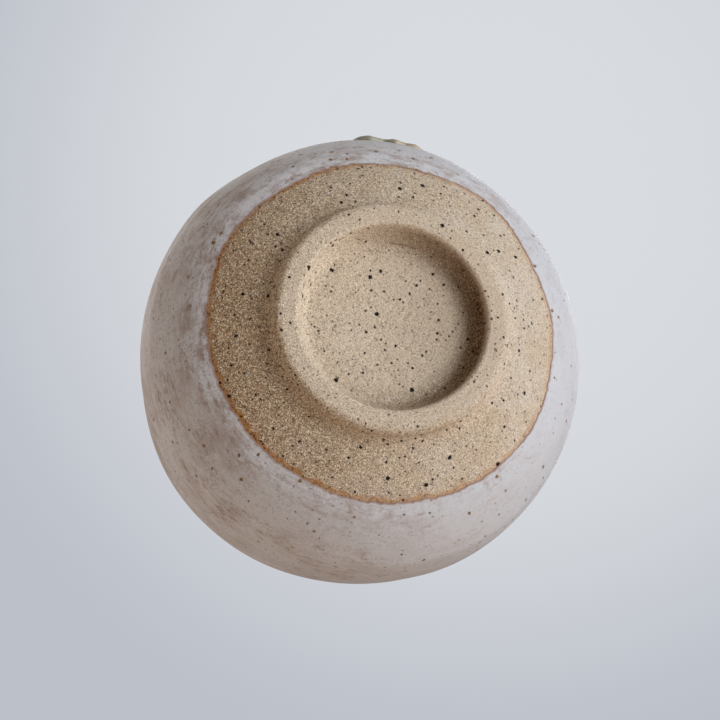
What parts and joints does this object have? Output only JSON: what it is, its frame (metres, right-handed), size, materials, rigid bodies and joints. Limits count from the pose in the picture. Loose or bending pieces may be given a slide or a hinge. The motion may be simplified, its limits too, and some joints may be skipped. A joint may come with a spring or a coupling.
{
  "type": "tea bowl",
  "caption": "Hand-thrown stoneware tea bowl with a bare turned foot ring, a wavy-edged white glaze and a rounded lip; holds whisked tea and stands on its foot.",
  "frame": {"origin": "centre of the circle that the foot ring stands on", "axes": "+Z along the bowl's axis, from the foot up to the lip; +X and +Y lie in the plane that the foot stands on, and the ash glaze run is between -X and +Y"},
  "size_m": [0.1248, 0.1258, 0.0756],
  "materials": {
    "stoneware": "bare fired clay, sandy, matt",
    "turned_clay": "bare fired clay, turned, matt",
    "white_glaze": "satin white glaze, brown where thin",
    "liner_glaze": "satin white glaze",
    "ash_glaze": "glossy grey-green ash glaze"
  },
  "bodies": {
    "root": {"bowl_body": "stoneware", "foot_ring": "turned_clay", "outer_glaze": "white_glaze", "inner_glaze": "liner_glaze", "ash_glaze_run": "ash_glaze"}
  },
  "joints": []
}
